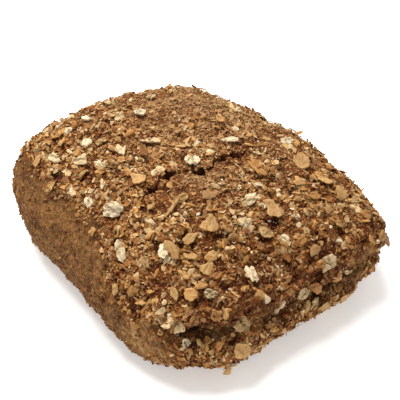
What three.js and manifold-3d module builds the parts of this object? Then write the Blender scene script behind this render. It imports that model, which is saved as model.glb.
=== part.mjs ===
// A wholegrain spelt roll: one baked brick of dough, domed on top, with spelt flakes baked on.
// Millimetres, +Z up. The flat base lies on z = 0, the long way is X, and the low near end faces +X.
import * as THREE from 'three';
import { mergeVertices } from 'three/addons/utils/BufferGeometryUtils.js';
import Module from 'manifold-3d';

// The smooth form of the dough: a superellipsoid in plan and in section, cut off by its base
const LENGTH = 100;
const WIDTH = 80;
const HEIGHT = 36;
const WIDEST_AT = 13.5;
const PLAN_POWER = 3.6;
const DOME_POWER = 1.95;
const FOOT_POWER = 2.8;
const FOOT_REACH = 1.35 * WIDEST_AT;
const NEAR_END_SPREAD = 0.085;
const NEAR_END_DROP = 0.2;
const SHELL_DETAIL = 12;

// Soft lumps of the dough, from the longest wave to the shortest
const LUMP_COUNT = 11;
const LUMP_LONGEST = 44;
const LUMP_SHRINK = 0.88;
const LUMP_STEEPNESS = 0.008;
const LUMP_FADE = 4;
const GOLDEN_ANGLE = Math.PI * (3 - Math.sqrt(5));

// Places where the dough swells or sinks: x, y, z, rise and reach
const SWELLS = [
  [10, 33, 25, 1.9, 11],
  [46, 28, 18, 1.8, 6],
  [48, 22, 7, -0.7, 8],
  [48, -20, 7, 0.7, 6],
  [45, -30, 4, -1, 6],
  [48, -9, 4, -0.7, 6],
  [44, -7, 21, -1.3, 5.5],
  [32, -35, 3, 1.1, 7],
  [35, 35, 20, -1.3, 7],
  [-20, 27, 31, -1.1, 9],
  [17, -39, 6, -1.1, 9],
  [-8, -39, 5, -0.9, 10],
  [-32, -38, 14, -0.6, 8],
  [-41, -17, 28, -1.2, 9],
  [-41, 14, 29, -1.2, 10],
];

// The furrow in the near end, above a lip of bare dough, and the low fold over the far top
const FURROW = { height: 13, tilt: -0.06, depth: 2.7, halfWidth: 2.4, from: 34, to: 45 };
const LIP = { height: 7.5, rise: 0.9, halfWidth: 3 };
const FOLD = { place: -15, turn: 0.22, rise: 0.9, halfWidth: 3.5 };

// The crack across the top: nearly straight with one bend, a hairline between the holes along it
const CRACK = { middle: 13.6, turn: 0.05, start: -24, end: 13, stations: 26, width: 1, depth: 1.6, fade: 4 };
const CRACK_BEND = { place: -9, reach: 2.4, turn: 0.31, halfLength: 12 };
const CRACK_HOLES = [[-19, 0.8], [-13, 1.3], [-6.5, 1.2], [2.7, 0.8], [6.2, 1.7]];
const CRACK_HAIRLINE = 0.35;
const HOLE_HALF_LENGTH = 1.4;
const CRACK_CLEARANCE = 3;
const CRACK_MARGIN = 1.2;

// Flakes: each is a low dome with an uneven outline, sunk by half in the crust
const FLAKE_SIDES = 7;
const FLAKE_COUNT = 146;
const FLAKE_TRIES = 900;
const FLAKE_LONGEST = 4.8;
const FLAKE_SHORTEST = 2.4;
const FLAKE_WIDTH_SHARE = { least: 0.6, range: 0.35 };
const FLAKE_CORNER = { least: 0.78, range: 0.42, wander: 0.5 };
const FLAKE_RISE = 0.35;
const FLAKE_RISE_SHARE = 0.09;
const FLAKE_RIM_SHARE = { least: 0.45, range: 0.4 };
const FLAKE_SINK = 1.2;
const FLAKE_ROOT_SHARE = 0.8;
const FLAKE_TIP_SINK = 1.56;
const FLAKE_GAP = 0.62;
const FLAKE_LOWEST = 3.5;
const SCATTER_DIP = 1.25;
const EVEN_STEP = 0.7548776662;
const TINY = 1e-9;

// Where few flakes stick: the long sides below the edge of the coat, which drops near the low end,
// quiet parts of the top as x, y and reach, and patches of bare dough as x, y, z and reach
const COAT_EDGE = { height: 26.3, drop: 13.2, from: 8, to: 36, blur: 2 };
const BARE_SIDE = { from: 0.35, to: 0.6, share: 0.97 };
const QUIET_TOP = { from: 0.5, to: 0.8, share: 0.8 };
const QUIET_PLACES = [[-12, 14, 24], [17, -6, 8]];
const BARE_PATCH_SHARE = 0.9;
const BARE_PATCHES = [[36, -38, 9, 8], [48, 20, 12, 7]];

// The rolled grain flakes that stand out, where they lie: x, y, z, length, width and heading in degrees
const GRAIN_FLAKES = [
  [23, 19, 30, 6.2, 5.4, 165],
  [32, 2, 28, 7.0, 5.4, 45],
  [30, -15, 29, 6.8, 4.4, 60],
  [35, -18, 26, 4.0, 3.2, 175],
  [37, -21, 25, 3.6, 3.2, 60],
  [30, -25, 27, 5.4, 2.9, 140],
  [30, -20, 28, 4.6, 2.5, 45],
  [27, -30, 25, 4.2, 2.4, 145],
  [38, -26, 22, 4.2, 3.2, 5],
  [36, -29, 22, 3.4, 2.0, 105],
  [42, 3, 24, 4.0, 2.4, 25],
  [44, 5, 22, 4.6, 2.6, 5],
  [21, 7, 32, 7.0, 3.0, 90],
  [28, 14, 29, 4.0, 2.8, 160],
  [31, 21, 28, 5.4, 3.8, 80],
  [36, 23, 26, 5.6, 3.6, 35],
  [42, 25, 22, 4.6, 3.8, 170],
  [8, -19, 32, 6.2, 3.8, 175],
  [47, 3, 15, 4.6, 3.6, 135],
  [50, -21, 10, 6.4, 4.4, 140],
  [49, 11, 13, 5.2, 3.4, 140],
  [50, 5, 9, 5.6, 3.0, 130],
];

// The pale oat flakes that stand out, in the same form
const OAT_FLAKES = [
  [29, -27, 27, 4.2, 3.0, 100],
  [34, -7, 28, 4.2, 3.3, 125],
  [38, -4, 27, 3.6, 3.0, 145],
  [46, 7, 19, 5.2, 3.9, 45],
  [47, -1, 15, 4.4, 3.2, 145],
  [28, -2, 30, 5.6, 3.4, 5],
  [8, 9, 34, 6.4, 3.0, 100],
  [13, 24, 30, 5.6, 3.4, 120],
  [39, 26, 24, 4.2, 3.2, 150],
  [11, -6, 34, 4.7, 3.8, 50],
  [-4, -17, 34, 5.4, 2.6, 170],
  [-11, -26, 31, 5.6, 2.9, 10],
  [-19, -29, 29, 5.0, 2.8, 10],
  [-2, -9, 35, 5.2, 2.8, 40],
  [-25, -16, 34, 5.6, 2.6, 55],
  [11, -29, 29, 5.6, 3.4, 40],
  [2, -26, 30, 3.6, 2.2, 135],
  [21, -33, 25, 6.2, 2.6, 145],
  [49, -19, 15, 5.6, 4.2, 170],
  [41, -31, 17, 4.0, 2.2, 60],
  [44, -32, 13, 3.8, 2.4, 100],
];

const wasm = await Module();
wasm.setup();

// A repeatable draw between 0 and 1
let seed = 20511;
function draw() {
  seed = (seed * 1664525 + 1013904223) % 4294967296;
  return seed / 4294967296;
}

function smoothStep(from, to, value) {
  const share = Math.min(1, Math.max(0, (value - from) / (to - from)));
  return share * share * (3 - 2 * share);
}

function bell(distance, halfWidth) {
  return Math.exp(-((distance / halfWidth) ** 2));
}

// Where a ray from the middle of the widest outline leaves the smooth form, and the way out there
function smoothSurface(direction) {
  const upper = direction.z >= 0;
  const power = upper ? DOME_POWER : FOOT_POWER;
  const reach = upper ? HEIGHT - WIDEST_AT : FOOT_REACH;
  const along = Math.abs(direction.x) / (LENGTH / 2);
  const across = Math.abs(direction.y) / (WIDTH / 2);
  const plan = Math.max((along ** PLAN_POWER + across ** PLAN_POWER) ** (1 / PLAN_POWER), TINY);
  const rise = Math.abs(direction.z) / reach;
  const scale = (plan ** power + rise ** power) ** (-1 / power);

  const x = direction.x * scale;
  const spread = 1 + NEAR_END_SPREAD * (x / LENGTH);
  const topThere = HEIGHT * (1 - NEAR_END_DROP * (x / LENGTH)) - WIDEST_AT;
  const lift = upper ? topThere / reach : 1;
  const point = new THREE.Vector3(x, direction.y * scale * spread, WIDEST_AT + direction.z * scale * lift);

  const side = (plan * scale) ** (power - 1);
  const normal = new THREE.Vector3(
    Math.sign(direction.x) * side * (along / plan) ** (PLAN_POWER - 1) / (LENGTH / 2),
    Math.sign(direction.y) * side * (across / plan) ** (PLAN_POWER - 1) / (WIDTH / 2),
    Math.sign(direction.z) * (rise * scale) ** (power - 1) / reach,
  ).normalize();
  return { point, normal };
}

// The direction in which the smooth form's rays reach a point: smoothSurface turned round
function directionTo(x, y, z) {
  const spread = 1 + NEAR_END_SPREAD * (x / LENGTH);
  const topThere = HEIGHT * (1 - NEAR_END_DROP * (x / LENGTH)) - WIDEST_AT;
  const lift = z > WIDEST_AT ? topThere / (HEIGHT - WIDEST_AT) : 1;
  return new THREE.Vector3(x, y / spread, (z - WIDEST_AT) / lift).normalize();
}

// 1 along the bottom of the near end's furrow, 0 away from it
function furrowShare(point) {
  const height = FURROW.height + FURROW.tilt * point.y;
  return smoothStep(FURROW.from, FURROW.to, point.x) * bell(point.z - height, FURROW.halfWidth);
}

// How far the real crust stands out of the smooth form at a point
function relief(point) {
  let height = 0;
  let wavelength = LUMP_LONGEST;
  for (let i = 0; i < LUMP_COUNT; i += 1) {
    const dip = 1 - (2 * i + 1) / LUMP_COUNT;
    const level = Math.sqrt(1 - dip * dip);
    const heading = i * GOLDEN_ANGLE;
    const reach = point.x * level * Math.cos(heading) + point.y * level * Math.sin(heading) + point.z * dip;
    height += wavelength * LUMP_STEEPNESS * Math.sin((2 * Math.PI * reach) / wavelength + i);
    wavelength *= LUMP_SHRINK;
  }
  for (const [x, y, z, rise, reach] of SWELLS) {
    height += rise * bell(point.distanceTo(new THREE.Vector3(x, y, z)), reach);
  }
  height -= FURROW.depth * furrowShare(point);
  const nearEnd = smoothStep(FURROW.from, FURROW.to, point.x);
  height += LIP.rise * nearEnd * bell(point.z - LIP.height, LIP.halfWidth);
  const fold = point.x - FOLD.place - FOLD.turn * point.y;
  height += FOLD.rise * bell(fold, FOLD.halfWidth) * smoothStep(WIDEST_AT, HEIGHT, point.z);
  return height * smoothStep(0, LUMP_FADE, point.z);
}

function crust(direction) {
  const { point, normal } = smoothSurface(direction);
  point.addScaledVector(normal, relief(point));
  point.z = Math.max(0, point.z);
  return { point, normal };
}

// The crust straight over a place, found by aiming again at the height last met
function crustOver(x, y) {
  let { point } = crust(directionTo(x, y, HEIGHT));
  for (let i = 0; i < 4; i += 1) {
    ({ point } = crust(directionTo(x, y, point.z)));
  }
  return point;
}

// The direction, seen from the middle of the widest outline, for a point of the unit sphere
function stretched(unit) {
  const halfSize = new THREE.Vector3(LENGTH / 2, WIDTH / 2, HEIGHT - WIDEST_AT);
  return unit.clone().multiply(halfSize).normalize();
}

function toSolid(geometry) {
  geometry.deleteAttribute('normal');
  geometry.deleteAttribute('uv');
  const closed = mergeVertices(geometry, 1e-5);
  const vertProperties = new Float32Array(closed.attributes.position.array);
  const triVerts = new Uint32Array(closed.index.array);
  return new wasm.Manifold(new wasm.Mesh({ numProp: 3, vertProperties, triVerts }));
}

function solidFrom(corners, triangles) {
  const geometry = new THREE.BufferGeometry().setFromPoints(corners);
  geometry.setIndex(triangles);
  return toSolid(geometry);
}

// Skin between rings of corners, closed by a fan at each end
function ringedSolid(firstTip, rings, lastTip) {
  const sides = rings[0].length;
  const corners = [firstTip, ...rings.flat(), lastTip];
  const triangles = [];
  const lastStart = 1 + (rings.length - 1) * sides;
  for (let side = 0; side < sides; side += 1) {
    const next = (side + 1) % sides;
    triangles.push(0, 1 + side, 1 + next);
    for (let ring = 0; ring < rings.length - 1; ring += 1) {
      const start = 1 + ring * sides;
      triangles.push(start + side, start + sides + side, start + sides + next);
      triangles.push(start + side, start + sides + next, start + next);
    }
    triangles.push(corners.length - 1, lastStart + next, lastStart + side);
  }
  return solidFrom(corners, triangles);
}

function makeDough() {
  const ball = new THREE.IcosahedronGeometry(1, SHELL_DETAIL);
  const corners = ball.attributes.position;
  for (let i = 0; i < corners.count; i += 1) {
    const unit = new THREE.Vector3().fromBufferAttribute(corners, i);
    const { point } = crust(stretched(unit));
    corners.setXYZ(i, point.x, point.y, point.z);
  }
  return toSolid(ball);
}

function crackPlace(y) {
  const along = y - CRACK_BEND.place;
  const bend = CRACK_BEND.reach * Math.sin(CRACK_BEND.turn * along) * bell(along, CRACK_BEND.halfLength);
  return CRACK.middle + CRACK.turn * y + bend;
}

// How far the crack gapes, as a share of its usual width
function crackOpening(y) {
  let opening = CRACK_HAIRLINE;
  for (const [place, size] of CRACK_HOLES) {
    opening += size * bell(y - place, HOLE_HALF_LENGTH);
  }
  return opening * smoothStep(0, CRACK.fade, y - CRACK.start) * smoothStep(0, CRACK.fade, CRACK.end - y);
}

// A wedge that follows the crack over the top, three corners to a station
function makeCrackCutter() {
  const rings = [];
  for (let i = 1; i < CRACK.stations; i += 1) {
    const y = CRACK.start + (CRACK.end - CRACK.start) * (i / CRACK.stations);
    const opening = crackOpening(y);
    const point = crustOver(crackPlace(y), y);
    const depth = CRACK.depth * opening;
    const halfWidth = (CRACK.width / 2) * opening * (1 + CRACK_CLEARANCE / depth);
    rings.push([
      new THREE.Vector3(point.x - halfWidth, point.y, point.z + CRACK_CLEARANCE),
      new THREE.Vector3(point.x, point.y, point.z - depth),
      new THREE.Vector3(point.x + halfWidth, point.y, point.z + CRACK_CLEARANCE),
    ]);
  }
  const middleOf = (ring) => new THREE.Vector3().add(ring[0]).add(ring[1]).add(ring[2]).divideScalar(3);
  return ringedSolid(middleOf(rings[0]), rings, middleOf(rings.at(-1)));
}

// One flake on the crust: a dome over an uneven rim, closed by a point sunk in the dough
function makeFlake({ spot, length, width, heading }) {
  const level = new THREE.Vector3(0, 0, 1);
  const east = new THREE.Vector3().crossVectors(level, spot.normal).normalize();
  const north = new THREE.Vector3().crossVectors(spot.normal, east);
  const rise = FLAKE_RISE + FLAKE_RISE_SHARE * length;
  const rim = [];
  const root = [];
  for (let side = 0; side < FLAKE_SIDES; side += 1) {
    const turn = (2 * Math.PI * (side + FLAKE_CORNER.wander * draw())) / FLAKE_SIDES;
    const size = FLAKE_CORNER.least + FLAKE_CORNER.range * draw();
    const curl = rise * (FLAKE_RIM_SHARE.least + FLAKE_RIM_SHARE.range * draw());
    const u = (length / 2) * size * Math.cos(turn);
    const v = (width / 2) * size * Math.sin(turn);
    const offset = new THREE.Vector3()
      .addScaledVector(east, u * Math.cos(heading) - v * Math.sin(heading))
      .addScaledVector(north, u * Math.sin(heading) + v * Math.cos(heading));
    rim.push(spot.point.clone().add(offset).addScaledVector(spot.normal, curl));
    const inset = offset.clone().multiplyScalar(FLAKE_ROOT_SHARE);
    root.push(spot.point.clone().add(inset).addScaledVector(spot.normal, -FLAKE_SINK));
  }
  const crown = spot.point.clone().addScaledVector(spot.normal, rise);
  const sunk = spot.point.clone().addScaledVector(spot.normal, -FLAKE_TIP_SINK);
  return ringedSolid(crown, [rim, root], sunk);
}

// The share of flakes that stick: most on the top and the ends, few on the long sides and quiet places
function flakeShare({ point, normal }) {
  const coatEdge = COAT_EDGE.height - COAT_EDGE.drop * smoothStep(COAT_EDGE.from, COAT_EDGE.to, point.x);
  const below = smoothStep(-COAT_EDGE.blur, COAT_EDGE.blur, coatEdge - point.z);
  let share = 1 - BARE_SIDE.share * below * smoothStep(BARE_SIDE.from, BARE_SIDE.to, Math.abs(normal.y));
  share *= 1 - furrowShare(point);
  for (const [x, y, reach] of QUIET_PLACES) {
    const onTop = smoothStep(QUIET_TOP.from, QUIET_TOP.to, normal.z);
    share *= 1 - QUIET_TOP.share * onTop * bell(Math.hypot(point.x - x, point.y - y), reach);
  }
  for (const [x, y, z, reach] of BARE_PATCHES) {
    share *= 1 - BARE_PATCH_SHARE * bell(point.distanceTo(new THREE.Vector3(x, y, z)), reach);
  }
  return share;
}

// A flake may not lie over the crack
function clearOfCrack(point, length) {
  const beside = Math.abs(point.x - crackPlace(point.y)) > length / 2 + CRACK_MARGIN;
  return beside || point.y < CRACK.start || point.y > CRACK.end || point.z < HEIGHT / 2;
}

function standOutFlakes() {
  return [...GRAIN_FLAKES, ...OAT_FLAKES].map(([x, y, z, length, width, degrees]) => {
    const spot = crust(directionTo(x, y, z));
    return { spot, length, width, heading: THREE.MathUtils.degToRad(degrees) };
  });
}

// Evenly spread spots on the dough, largest flakes first, none closer than it has room for
function scatteredFlakes(flakes) {
  for (let i = 0; i < FLAKE_TRIES && flakes.length < FLAKE_COUNT; i += 1) {
    const dip = 1 - SCATTER_DIP * ((i * EVEN_STEP) % 1);
    const around = 2 * Math.PI * ((i * EVEN_STEP * EVEN_STEP) % 1);
    const level = Math.sqrt(1 - dip * dip);
    const unit = new THREE.Vector3(level * Math.cos(around), level * Math.sin(around), dip);
    const spot = crust(stretched(unit));
    const largest = FLAKE_LONGEST - (FLAKE_LONGEST - FLAKE_SHORTEST) * (i / FLAKE_TRIES);
    const length = FLAKE_SHORTEST + (largest - FLAKE_SHORTEST) * draw();
    const width = length * (FLAKE_WIDTH_SHARE.least + FLAKE_WIDTH_SHARE.range * draw());
    const heading = Math.PI * draw();
    const kept = draw() < flakeShare(spot) && spot.point.z > FLAKE_LOWEST && clearOfCrack(spot.point, length);
    const room = (other) => spot.point.distanceTo(other.spot.point) > FLAKE_GAP * (length + other.length);
    if (kept && flakes.every(room)) {
      flakes.push({ spot, length, width, heading });
    }
  }
  return flakes;
}

function makeRoll() {
  let roll = makeDough().subtract(makeCrackCutter());
  for (const flake of scatteredFlakes(standOutFlakes())) {
    roll = roll.add(makeFlake(flake));
  }
  const pieces = roll.decompose().sort((one, other) => other.volume() - one.volume());
  return pieces[0];
}

function toGeometry(solid) {
  const { vertProperties, triVerts } = solid.getMesh();
  const geometry = new THREE.BufferGeometry();
  geometry.setAttribute('position', new THREE.Float32BufferAttribute(vertProperties, 3));
  geometry.setIndex(new THREE.Uint32BufferAttribute(triVerts, 1));
  geometry.computeVertexNormals();
  return geometry;
}

const crustMaterial = new THREE.MeshStandardMaterial({ color: 0x9a6a3c, roughness: 0.9, metalness: 0 });

const roll = new THREE.Mesh(toGeometry(makeRoll()), crustMaterial);
roll.name = 'roll';

const group = new THREE.Group();
group.add(roll);

export default group;
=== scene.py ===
# Looks of the wholegrain spelt roll: dough, bran, grains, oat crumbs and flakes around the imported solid.
import math
from collections import namedtuple

import bmesh
import bpy
import numpy as np
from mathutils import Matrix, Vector, noise


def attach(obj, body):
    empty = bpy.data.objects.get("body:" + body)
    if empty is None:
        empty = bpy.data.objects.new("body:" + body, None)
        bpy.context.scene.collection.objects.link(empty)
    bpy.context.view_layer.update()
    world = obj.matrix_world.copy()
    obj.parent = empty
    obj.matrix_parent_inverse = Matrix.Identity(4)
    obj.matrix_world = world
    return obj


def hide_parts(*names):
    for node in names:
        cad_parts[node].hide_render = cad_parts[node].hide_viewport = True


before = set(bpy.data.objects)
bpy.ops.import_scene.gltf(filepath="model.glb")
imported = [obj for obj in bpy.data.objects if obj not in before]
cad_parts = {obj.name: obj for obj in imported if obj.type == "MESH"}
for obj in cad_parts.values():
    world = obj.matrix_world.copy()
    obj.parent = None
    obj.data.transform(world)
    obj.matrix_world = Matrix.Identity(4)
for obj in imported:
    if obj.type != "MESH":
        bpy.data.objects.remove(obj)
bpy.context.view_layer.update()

# The smooth form of the dough in millimetres, as the solid has it
MM = 0.001
LENGTH = 100.0
WIDTH = 80.0
HEIGHT = 36.0
WIDEST_AT = 13.5
PLAN_POWER = 3.6
DOME_POWER = 1.95
FOOT_POWER = 2.8
FOOT_REACH = 1.35 * WIDEST_AT
NEAR_END_SPREAD = 0.085
NEAR_END_DROP = 0.2
GOLDEN_ANGLE = math.pi * (3 - math.sqrt(5))
TINY = 1e-9

# Soft lumps, from the longest wave to the shortest, and single swells: x, y, z, rise and reach
LUMP_COUNT = 11
LUMP_LONGEST = 44.0
LUMP_SHRINK = 0.88
LUMP_STEEPNESS = 0.008
LUMP_FADE = 4.0
SWELLS = [
    (10, 33, 25, 1.9, 11),
    (46, 28, 18, 1.8, 6),
    (48, 22, 7, -0.7, 8),
    (48, -20, 7, 0.7, 6),
    (45, -30, 4, -1, 6),
    (48, -9, 4, -0.7, 6),
    (44, -7, 21, -1.3, 5.5),
    (32, -35, 3, 1.1, 7),
    (35, 35, 20, -1.3, 7),
    (-20, 27, 31, -1.1, 9),
    (17, -39, 6, -1.1, 9),
    (-8, -39, 5, -0.9, 10),
    (-32, -38, 14, -0.6, 8),
    (-41, -17, 28, -1.2, 9),
    (-41, 14, 29, -1.2, 10),
]

# Furrow and lip of the near end, and the fold over the far top
FURROW_HEIGHT, FURROW_TILT, FURROW_DEPTH, FURROW_HALF_WIDTH = 13.0, -0.06, 2.7, 2.4
FURROW_FROM, FURROW_TO = 34.0, 45.0
LIP_HEIGHT, LIP_RISE, LIP_HALF_WIDTH = 7.5, 0.9, 3.0
FOLD_PLACE, FOLD_TURN, FOLD_RISE, FOLD_HALF_WIDTH = -15.0, 0.22, 0.9, 3.5

# The crack across the top, with its bend and its holes: place along Y and size
CRACK_MIDDLE, CRACK_TURN, CRACK_START, CRACK_END, CRACK_FADE = 13.6, 0.05, -24.0, 13.0, 4.0
CRACK_WIDTH, CRACK_DEPTH = 1.0, 1.6
BEND_PLACE, BEND_REACH, BEND_TURN, BEND_HALF_LENGTH = -9.0, 2.4, 0.31, 12.0
CRACK_HOLES = [(-19, 0.8), (-13, 1.3), (-6.5, 1.2), (2.7, 0.8), (6.2, 1.7)]
CRACK_HAIRLINE, HOLE_HALF_LENGTH = 0.35, 1.4
CRACK_MARGIN = 1.2
CRACK_WEAR = 1.8
CRACK_WIGGLES = [(0.35, 1.7, 0), (0.25, 3.1, 1)]
OFF_TOP = 100.0

# Fine relief of the dough: how wide and high its knobs, waves and tears are, and how deep its pores
KNOB_SIZE, KNOB_HEIGHT, LEAST_KNOB_HEIGHT = 3.2, 0.8, 0.25
WAVE_SIZE, WAVE_HEIGHT, FURROW_WAVE_HEIGHT = 8.0, 0.35, 1.6
TEAR_SIZE, TEAR_HEIGHT, BARE_TEAR_HEIGHT = 2.2, 0.9, 0.35
PORE_SIZE, PORE_DEPTH, PORE_FROM, PORE_TO, PORE_SHIFT = 2.6, 0.6, 0.4, 0.65, 50.0
DIP_FROM, DIP_TO = 0.1, 0.5
CRACK_DEEPENING, CRACK_SLOPE = 1.4, 1.4
ROUGH_FADE = 2.5

# Flakes fused to the solid, and how they are scattered
FLAKE_SIDES = 7
FLAKE_COUNT = 146
FLAKE_TRIES = 900
FLAKE_LONGEST = 4.8
FLAKE_SHORTEST = 2.4
FLAKE_WIDTH_LEAST, FLAKE_WIDTH_RANGE = 0.6, 0.35
CORNER_LEAST, CORNER_RANGE, CORNER_WANDER = 0.78, 0.42, 0.5
FLAKE_RISE, FLAKE_RISE_SHARE = 0.35, 0.09
RIM_LEAST, RIM_RANGE = 0.45, 0.4
FLAKE_GAP = 0.62
FLAKE_LOWEST = 3.5
FLAKE_SEED = 20511
DRAW_FACTOR, DRAW_STEP, DRAW_RANGE = 1664525, 1013904223, 4294967296
SCATTER_DIP = 1.25
EVEN_STEP = 0.7548776662
BARE_SIDE_FROM, BARE_SIDE_TO, BARE_SIDE_SHARE = 0.35, 0.6, 0.97
QUIET_FROM, QUIET_TO, QUIET_SHARE = 0.5, 0.8, 0.8
QUIET_PLACES = [(-12, 14, 24), (17, -6, 8)]
COAT_EDGE, COAT_DROP, COAT_DROP_FROM, COAT_DROP_TO, COAT_BLUR = 26.3, 13.2, 8.0, 36.0, 2.0
BARE_PATCH_SHARE = 0.9
BARE_PATCHES = [(36, -38, 9, 8), (48, 20, 12, 7)]

# Where bare dough begins in the finer model, and how ragged its edges are
SIDE_FROM, SIDE_TO, SIDE_TURN = 0.4, 0.62, 0.35
EDGE_RAGGED, EDGE_SIZE = 1.5, 6.0
PATCH_RAGGED, PATCH_SIZE, PATCH_FROM, PATCH_TO = 0.3, 3.0, 0.35, 0.65
FURROW_BARE, FURROW_BARE_FROM, FURROW_BARE_TO = 0.9, 0.4, 0.85

# Flakes that stand out: x, y, z, length, width and heading in degrees
GRAIN_FLAKES = [
    (23, 19, 30, 6.2, 5.4, 165),
    (32, 2, 28, 7.0, 5.4, 45),
    (30, -15, 29, 6.8, 4.4, 60),
    (35, -18, 26, 4.0, 3.2, 175),
    (37, -21, 25, 3.6, 3.2, 60),
    (30, -25, 27, 5.4, 2.9, 140),
    (30, -20, 28, 4.6, 2.5, 45),
    (27, -30, 25, 4.2, 2.4, 145),
    (38, -26, 22, 4.2, 3.2, 5),
    (36, -29, 22, 3.4, 2.0, 105),
    (42, 3, 24, 4.0, 2.4, 25),
    (44, 5, 22, 4.6, 2.6, 5),
    (21, 7, 32, 7.0, 3.0, 90),
    (28, 14, 29, 4.0, 2.8, 160),
    (31, 21, 28, 5.4, 3.8, 80),
    (36, 23, 26, 5.6, 3.6, 35),
    (42, 25, 22, 4.6, 3.8, 170),
    (8, -19, 32, 6.2, 3.8, 175),
    (47, 3, 15, 4.6, 3.6, 135),
    (50, -21, 10, 6.4, 4.4, 140),
    (49, 11, 13, 5.2, 3.4, 140),
    (50, 5, 9, 5.6, 3.0, 130),
]
OAT_FLAKES = [
    (29, -27, 27, 4.2, 3.0, 100),
    (34, -7, 28, 4.2, 3.3, 125),
    (38, -4, 27, 3.6, 3.0, 145),
    (46, 7, 19, 5.2, 3.9, 45),
    (47, -1, 15, 4.4, 3.2, 145),
    (28, -2, 30, 5.6, 3.4, 5),
    (8, 9, 34, 6.4, 3.0, 100),
    (13, 24, 30, 5.6, 3.4, 120),
    (39, 26, 24, 4.2, 3.2, 150),
    (11, -6, 34, 4.7, 3.8, 50),
    (-4, -17, 34, 5.4, 2.6, 170),
    (-11, -26, 31, 5.6, 2.9, 10),
    (-19, -29, 29, 5.0, 2.8, 10),
    (-2, -9, 35, 5.2, 2.8, 40),
    (-25, -16, 34, 5.6, 2.6, 55),
    (11, -29, 29, 5.6, 3.4, 40),
    (2, -26, 30, 3.6, 2.2, 135),
    (21, -33, 25, 6.2, 2.6, 145),
    (49, -19, 15, 5.6, 4.2, 170),
    (41, -31, 17, 4.0, 2.2, 60),
    (44, -32, 13, 3.8, 2.4, 100),
]

# How fine the dough is cut, how low and high pieces may reach, and how many of the scattered flakes are oat
CRUST_CUTS, FINE_CUTS, FINE_REACH = 106, 2, 2.5
LOWEST, CEILING = 0.02, HEIGHT + 2.3
OAT_SHARE = 0.26

# Colours as they look on screen, 0 to 255
# Painted shade: the dark colour put into the dough's crack, furrow, pores and dips
GAP_SHADE = (48, 17, 4)
UMBER = (130, 87, 46)
BAKED = (152, 110, 61)
RUST = (124, 66, 26)
BROWN = (152, 97, 43)
EVEN = (176, 138, 93)
GOLD = (186, 140, 78)
HUSK = (184, 151, 107)
TAN = (202, 166, 112)
CREAM = (214, 192, 148)
WHITE = (234, 223, 196)
CLEAR = (255, 255, 255)

# The colours that pieces are drawn from, and how often each is
GOLDEN = (BROWN, GOLD, TAN, CREAM), (0.35, 0.4, 0.17, 0.08)
MIXED = (RUST, BROWN, GOLD, TAN, CREAM), (0.22, 0.26, 0.27, 0.15, 0.1)
DOUGHY = (UMBER, BAKED), (0.35, 0.65)
OATEN = (WHITE, CREAM, TAN), (0.45, 0.4, 0.15)

# Husks and chips that stand out: from one end to the other, width and colour
HUSKS = [
    ((22.7, -21.8, 31.6), (20.0, -15.4, 33.2), 1.2, HUSK),
    ((49.3, -24.3, 10.2), (49.0, -24.0, 4.0), 1.8, BROWN),
    ((49.4, -24.2, 5.6), (48.9, -24.0, 2.7), 2.3, TAN),
    ((44.4, 26.8, 20.6), (48.7, 29.9, 14.4), 4.4, BAKED),
    ((43.0, 28.0, 14.6), (45.0, 34.2, 11.8), 2.8, HUSK),
    ((36.0, 28.0, 23.6), (36.6, 31.6, 23.4), 1.0, HUSK),
]

# Painted shade on the pieces: how much darker they are in dips and above the lip of the low near end, in red,
# green and blue
DIP_SHADE = np.array([0.34, 0.54, 0.68])
END_SHADE = np.array([0.36, 0.48, 0.56])
END_FROM, END_TO, END_LOW, END_HIGH = 0.35, 0.85, 9.0, 16.0

# How much painted shade, the dark colour of the gaps, the dough has in torn places, pores and dips, and how
# much less in bare dips
TORN_SHADE, PORE_SHADE, DIP_GAP, BARE_DIP_LOSS = 0.6, 0.6, 0.85, 0.8

# How far pieces take on one even colour in the quiet parts of the top, and how much gloss they keep
CALM_SHARE, DULLNESS = 0.85, 0.25

# Corners and faces of the finest grains, four-sided and eight-sided
TETRA = (
    [(0.6, 0.6, 0.6), (0.6, -0.6, -0.6), (-0.6, 0.6, -0.6), (-0.6, -0.6, 0.6)],
    [(0, 1, 2), (0, 3, 1), (0, 2, 3), (1, 3, 2)],
)
OCTA = (
    [(1, 0, 0), (-1, 0, 0), (0, 1, 0), (0, -1, 0), (0, 0, 1), (0, 0, -1)],
    [(0, 2, 4), (2, 1, 4), (1, 3, 4), (3, 0, 4), (2, 0, 5), (1, 2, 5), (3, 1, 5), (0, 3, 5)],
)

# The kinds of fine grain, of curled bran and of oat crumb, with sizes in millimetres
GrainKind = namedtuple("GrainKind", "count shape sizes sunk palette")
GRAIN_KINDS = {
    "granules": GrainKind(30000, TETRA, (0.2, 0.42), 0, GOLDEN),
    "grains": GrainKind(15000, OCTA, (0.22, 0.5), 0, MIXED),
    "side_grains": GrainKind(11000, TETRA, (0.3, 0.7), 0.2, DOUGHY),
}
BranKind = namedtuple("BranKind", "count rings sides sizes thickness curl lift tilt")
BRAN_KINDS = {
    "small_bran": BranKind(13500, 1, 6, (0.8, 1.9), 0.2, 1.0, 0.16, 0.85),
    "large_bran": BranKind(2900, 2, 7, (1.4, 2.7), 0.2, 1.3, 0.12, 0.6),
}
CrumbKind = namedtuple("CrumbKind", "count sizes detail")
CRUMB_KINDS = {
    "oat_crumbs": CrumbKind(130, (1.4, 2.6), 3),
    "oat_bits": CrumbKind(400, (0.7, 1.4), 2),
    "oat_specks": CrumbKind(600, (0.4, 0.8), 1),
}
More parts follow.
